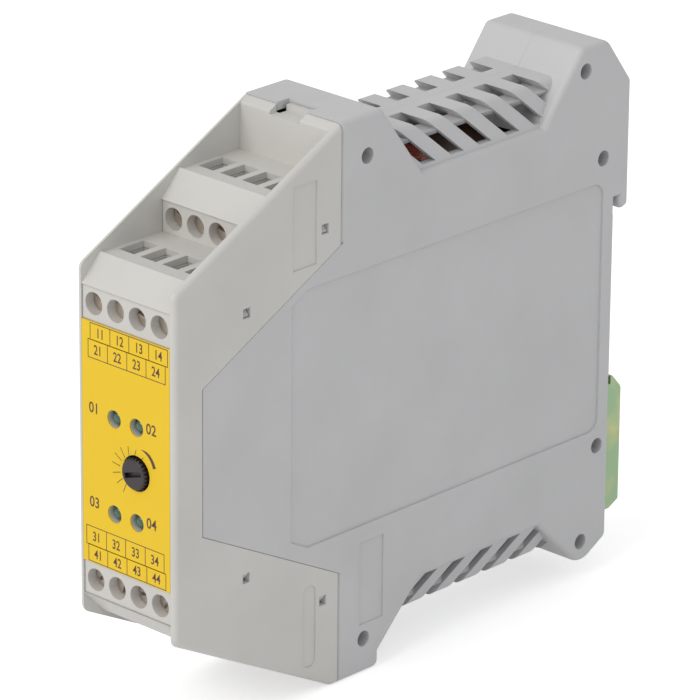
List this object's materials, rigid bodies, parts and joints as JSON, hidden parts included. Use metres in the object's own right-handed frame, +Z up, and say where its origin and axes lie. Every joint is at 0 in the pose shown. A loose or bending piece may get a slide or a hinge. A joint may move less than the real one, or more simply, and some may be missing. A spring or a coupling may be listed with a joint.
{
  "type": "safety relay",
  "caption": "Safety relay module in a slim grey housing for a 35 mm rail, with stepped screw terminals, louvres, status lamps, a time knob and a metal foot latch.",
  "frame": {"origin": "centre of the rail seat, on the module's middle plane and level with the rail's centre line", "axes": "+X across the module, +Y from the front towards the rail, +Z up"},
  "size_m": [0.0226, 0.1117, 0.0999],
  "materials": {
    "shell_grey": "moulded light grey plastic, fine matt texture",
    "cover_grey": "moulded light grey plastic, satin",
    "label_yellow": "printed yellow film with dark brown marks",
    "terminal_grey": "moulded light grey plastic",
    "contact_brass": "tinned brass",
    "screw_steel": "zinc plated, turned",
    "cage_steel": "zinc plated",
    "board_green": "green solder mask",
    "black_plastic": "moulded black plastic",
    "lamp_green": "dark green tinted lamp, unlit",
    "knob_black": "satin black plastic, knurled",
    "relay_brown": "brown relay case",
    "transformer_black": "black lacquered core",
    "can_aluminium": "drawn aluminium can",
    "film_red": "red-orange dipped film capacitor",
    "latch_chromate": "yellow-green iridescent chromated steel",
    "spring_steel": "spring wire"
  },
  "bodies": {
    "housing": {"housing_left": "shell_grey", "housing_right": "shell_grey", "front_cover": "cover_grey", "front_label": "label_yellow", "terminal_block_top_front": "terminal_grey", "contact_bars_top_front": "contact_brass", "terminal_block_top_rear": "terminal_grey", "contact_bars_top_rear": "contact_brass", "terminal_block_bottom_front": "terminal_grey", "contact_bars_bottom_front": "contact_brass", "terminal_block_bottom_rear": "terminal_grey", "contact_bars_bottom_rear": "contact_brass", "main_board": "board_green", "front_board": "board_green", "board_header": "black_plastic", "status_leds": "lamp_green", "setting_potentiometer": "black_plastic", "relay_1": "relay_brown", "relay_2": "relay_brown", "relay_3": "relay_brown", "relay_4": "relay_brown", "transformer": "transformer_black", "electrolytic_capacitors": "can_aluminium", "film_capacitor": "film_red", "latch_spring": "spring_steel"},
    "foot_latch": {"foot_latch": "latch_chromate"},
    "time_knob": {"time_knob": "knob_black"},
    "screw_top_front_1": {"terminal_screw_top_front_1": "screw_steel"},
    "cage_top_front_1": {"clamp_cage_top_front_1": "cage_steel"},
    "screw_top_front_2": {"terminal_screw_top_front_2": "screw_steel"},
    "cage_top_front_2": {"clamp_cage_top_front_2": "cage_steel"},
    "screw_top_front_3": {"terminal_screw_top_front_3": "screw_steel"},
    "cage_top_front_3": {"clamp_cage_top_front_3": "cage_steel"},
    "screw_top_front_4": {"terminal_screw_top_front_4": "screw_steel"},
    "cage_top_front_4": {"clamp_cage_top_front_4": "cage_steel"},
    "screw_top_rear_1": {"terminal_screw_top_rear_1": "screw_steel"},
    "cage_top_rear_1": {"clamp_cage_top_rear_1": "cage_steel"},
    "screw_top_rear_2": {"terminal_screw_top_rear_2": "screw_steel"},
    "cage_top_rear_2": {"clamp_cage_top_rear_2": "cage_steel"},
    "screw_top_rear_3": {"terminal_screw_top_rear_3": "screw_steel"},
    "cage_top_rear_3": {"clamp_cage_top_rear_3": "cage_steel"},
    "screw_top_rear_4": {"terminal_screw_top_rear_4": "screw_steel"},
    "cage_top_rear_4": {"clamp_cage_top_rear_4": "cage_steel"},
    "screw_bottom_front_1": {"terminal_screw_bottom_front_1": "screw_steel"},
    "cage_bottom_front_1": {"clamp_cage_bottom_front_1": "cage_steel"},
    "screw_bottom_front_2": {"terminal_screw_bottom_front_2": "screw_steel"},
    "cage_bottom_front_2": {"clamp_cage_bottom_front_2": "cage_steel"},
    "screw_bottom_front_3": {"terminal_screw_bottom_front_3": "screw_steel"},
    "cage_bottom_front_3": {"clamp_cage_bottom_front_3": "cage_steel"},
    "screw_bottom_front_4": {"terminal_screw_bottom_front_4": "screw_steel"},
    "cage_bottom_front_4": {"clamp_cage_bottom_front_4": "cage_steel"},
    "screw_bottom_rear_1": {"terminal_screw_bottom_rear_1": "screw_steel"},
    "cage_bottom_rear_1": {"clamp_cage_bottom_rear_1": "cage_steel"},
    "screw_bottom_rear_2": {"terminal_screw_bottom_rear_2": "screw_steel"},
    "cage_bottom_rear_2": {"clamp_cage_bottom_rear_2": "cage_steel"},
    "screw_bottom_rear_3": {"terminal_screw_bottom_rear_3": "screw_steel"},
    "cage_bottom_rear_3": {"clamp_cage_bottom_rear_3": "cage_steel"},
    "screw_bottom_rear_4": {"terminal_screw_bottom_rear_4": "screw_steel"},
    "cage_bottom_rear_4": {"clamp_cage_bottom_rear_4": "cage_steel"}
  },
  "joints": [
    {"name": "foot_latch_slide", "type": "slide", "parent": "housing", "child": "foot_latch", "axis": [0, 0, -1], "range_m": [0, 0.004], "stiffness_N_per_m": 1500, "springref_m": -0.003, "deforming": ["latch_spring"]},
    {"name": "time_knob_turn", "type": "hinge", "parent": "housing", "child": "time_knob", "pos_m": [0.00235, -0.107, -0.0047], "axis": [0, 1, 0], "range_deg": [-150, 150]},
    {"name": "screw_top_front_1_turn", "type": "hinge", "parent": "housing", "child": "screw_top_front_1", "pos_m": [-0.0075, -0.1048, 0.022], "axis": [0, 1, 0], "range_deg": [-90, 2250]},
    {"name": "cage_top_front_1_slide", "type": "slide", "parent": "housing", "child": "cage_top_front_1", "axis": [0, -1, 0], "range_m": [0, 0.003]},
    {"name": "screw_top_front_2_turn", "type": "hinge", "parent": "housing", "child": "screw_top_front_2", "pos_m": [-0.0025, -0.1048, 0.022], "axis": [0, 1, 0], "range_deg": [-90, 2250]},
    {"name": "cage_top_front_2_slide", "type": "slide", "parent": "housing", "child": "cage_top_front_2", "axis": [0, -1, 0], "range_m": [0, 0.003]},
    {"name": "screw_top_front_3_turn", "type": "hinge", "parent": "housing", "child": "screw_top_front_3", "pos_m": [0.0025, -0.1048, 0.022], "axis": [0, 1, 0], "range_deg": [-90, 2250]},
    {"name": "cage_top_front_3_slide", "type": "slide", "parent": "housing", "child": "cage_top_front_3", "axis": [0, -1, 0], "range_m": [0, 0.003]},
    {"name": "screw_top_front_4_turn", "type": "hinge", "parent": "housing", "child": "screw_top_front_4", "pos_m": [0.0075, -0.1048, 0.022], "axis": [0, 1, 0], "range_deg": [-90, 2250]},
    {"name": "cage_top_front_4_slide", "type": "slide", "parent": "housing", "child": "cage_top_front_4", "axis": [0, -1, 0], "range_m": [0, 0.003]},
    {"name": "screw_top_rear_1_turn", "type": "hinge", "parent": "housing", "child": "screw_top_rear_1", "pos_m": [-0.0075, -0.0866, 0.03175], "axis": [0, 1, 0], "range_deg": [-90, 2250]},
    {"name": "cage_top_rear_1_slide", "type": "slide", "parent": "housing", "child": "cage_top_rear_1", "axis": [0, -1, 0], "range_m": [0, 0.003]},
    {"name": "screw_top_rear_2_turn", "type": "hinge", "parent": "housing", "child": "screw_top_rear_2", "pos_m": [-0.0025, -0.0866, 0.03175], "axis": [0, 1, 0], "range_deg": [-90, 2250]},
    {"name": "cage_top_rear_2_slide", "type": "slide", "parent": "housing", "child": "cage_top_rear_2", "axis": [0, -1, 0], "range_m": [0, 0.003]},
    {"name": "screw_top_rear_3_turn", "type": "hinge", "parent": "housing", "child": "screw_top_rear_3", "pos_m": [0.0025, -0.0866, 0.03175], "axis": [0, 1, 0], "range_deg": [-90, 2250]},
    {"name": "cage_top_rear_3_slide", "type": "slide", "parent": "housing", "child": "cage_top_rear_3", "axis": [0, -1, 0], "range_m": [0, 0.003]},
    {"name": "screw_top_rear_4_turn", "type": "hinge", "parent": "housing", "child": "screw_top_rear_4", "pos_m": [0.0075, -0.0866, 0.03175], "axis": [0, 1, 0], "range_deg": [-90, 2250]},
    {"name": "cage_top_rear_4_slide", "type": "slide", "parent": "housing", "child": "cage_top_rear_4", "axis": [0, -1, 0], "range_m": [0, 0.003]},
    {"name": "screw_bottom_front_1_turn", "type": "hinge", "parent": "housing", "child": "screw_bottom_front_1", "pos_m": [-0.0075, -0.1048, -0.0266], "axis": [0, 1, 0], "range_deg": [-90, 2250]},
    {"name": "cage_bottom_front_1_slide", "type": "slide", "parent": "housing", "child": "cage_bottom_front_1", "axis": [0, -1, 0], "range_m": [0, 0.003]},
    {"name": "screw_bottom_front_2_turn", "type": "hinge", "parent": "housing", "child": "screw_bottom_front_2", "pos_m": [-0.0025, -0.1048, -0.0266], "axis": [0, 1, 0], "range_deg": [-90, 2250]},
    {"name": "cage_bottom_front_2_slide", "type": "slide", "parent": "housing", "child": "cage_bottom_front_2", "axis": [0, -1, 0], "range_m": [0, 0.003]},
    {"name": "screw_bottom_front_3_turn", "type": "hinge", "parent": "housing", "child": "screw_bottom_front_3", "pos_m": [0.0025, -0.1048, -0.0266], "axis": [0, 1, 0], "range_deg": [-90, 2250]},
    {"name": "cage_bottom_front_3_slide", "type": "slide", "parent": "housing", "child": "cage_bottom_front_3", "axis": [0, -1, 0], "range_m": [0, 0.003]},
    {"name": "screw_bottom_front_4_turn", "type": "hinge", "parent": "housing", "child": "screw_bottom_front_4", "pos_m": [0.0075, -0.1048, -0.0266], "axis": [0, 1, 0], "range_deg": [-90, 2250]},
    {"name": "cage_bottom_front_4_slide", "type": "slide", "parent": "housing", "child": "cage_bottom_front_4", "axis": [0, -1, 0], "range_m": [0, 0.003]},
    {"name": "screw_bottom_rear_1_turn", "type": "hinge", "parent": "housing", "child": "screw_bottom_rear_1", "pos_m": [-0.0075, -0.0866, -0.03635], "axis": [0, 1, 0], "range_deg": [-90, 2250]},
    {"name": "cage_bottom_rear_1_slide", "type": "slide", "parent": "housing", "child": "cage_bottom_rear_1", "axis": [0, -1, 0], "range_m": [0, 0.003]},
    {"name": "screw_bottom_rear_2_turn", "type": "hinge", "parent": "housing", "child": "screw_bottom_rear_2", "pos_m": [-0.0025, -0.0866, -0.03635], "axis": [0, 1, 0], "range_deg": [-90, 2250]},
    {"name": "cage_bottom_rear_2_slide", "type": "slide", "parent": "housing", "child": "cage_bottom_rear_2", "axis": [0, -1, 0], "range_m": [0, 0.003]},
    {"name": "screw_bottom_rear_3_turn", "type": "hinge", "parent": "housing", "child": "screw_bottom_rear_3", "pos_m": [0.0025, -0.0866, -0.03635], "axis": [0, 1, 0], "range_deg": [-90, 2250]},
    {"name": "cage_bottom_rear_3_slide", "type": "slide", "parent": "housing", "child": "cage_bottom_rear_3", "axis": [0, -1, 0], "range_m": [0, 0.003]},
    {"name": "screw_bottom_rear_4_turn", "type": "hinge", "parent": "housing", "child": "screw_bottom_rear_4", "pos_m": [0.0075, -0.0866, -0.03635], "axis": [0, 1, 0], "range_deg": [-90, 2250]},
    {"name": "cage_bottom_rear_4_slide", "type": "slide", "parent": "housing", "child": "cage_bottom_rear_4", "axis": [0, -1, 0], "range_m": [0, 0.003]}
  ],
  "couplings": [
    {"joint": "screw_top_front_1_turn", "follows": "cage_top_front_1_slide", "rad_per_m": 12566},
    {"joint": "screw_top_front_2_turn", "follows": "cage_top_front_2_slide", "rad_per_m": 12566},
    {"joint": "screw_top_front_3_turn", "follows": "cage_top_front_3_slide", "rad_per_m": 12566},
    {"joint": "screw_top_front_4_turn", "follows": "cage_top_front_4_slide", "rad_per_m": 12566},
    {"joint": "screw_top_rear_1_turn", "follows": "cage_top_rear_1_slide", "rad_per_m": 12566},
    {"joint": "screw_top_rear_2_turn", "follows": "cage_top_rear_2_slide", "rad_per_m": 12566},
    {"joint": "screw_top_rear_3_turn", "follows": "cage_top_rear_3_slide", "rad_per_m": 12566},
    {"joint": "screw_top_rear_4_turn", "follows": "cage_top_rear_4_slide", "rad_per_m": 12566},
    {"joint": "screw_bottom_front_1_turn", "follows": "cage_bottom_front_1_slide", "rad_per_m": 12566},
    {"joint": "screw_bottom_front_2_turn", "follows": "cage_bottom_front_2_slide", "rad_per_m": 12566},
    {"joint": "screw_bottom_front_3_turn", "follows": "cage_bottom_front_3_slide", "rad_per_m": 12566},
    {"joint": "screw_bottom_front_4_turn", "follows": "cage_bottom_front_4_slide", "rad_per_m": 12566},
    {"joint": "screw_bottom_rear_1_turn", "follows": "cage_bottom_rear_1_slide", "rad_per_m": 12566},
    {"joint": "screw_bottom_rear_2_turn", "follows": "cage_bottom_rear_2_slide", "rad_per_m": 12566},
    {"joint": "screw_bottom_rear_3_turn", "follows": "cage_bottom_rear_3_slide", "rad_per_m": 12566},
    {"joint": "screw_bottom_rear_4_turn", "follows": "cage_bottom_rear_4_slide", "rad_per_m": 12566}
  ]
}
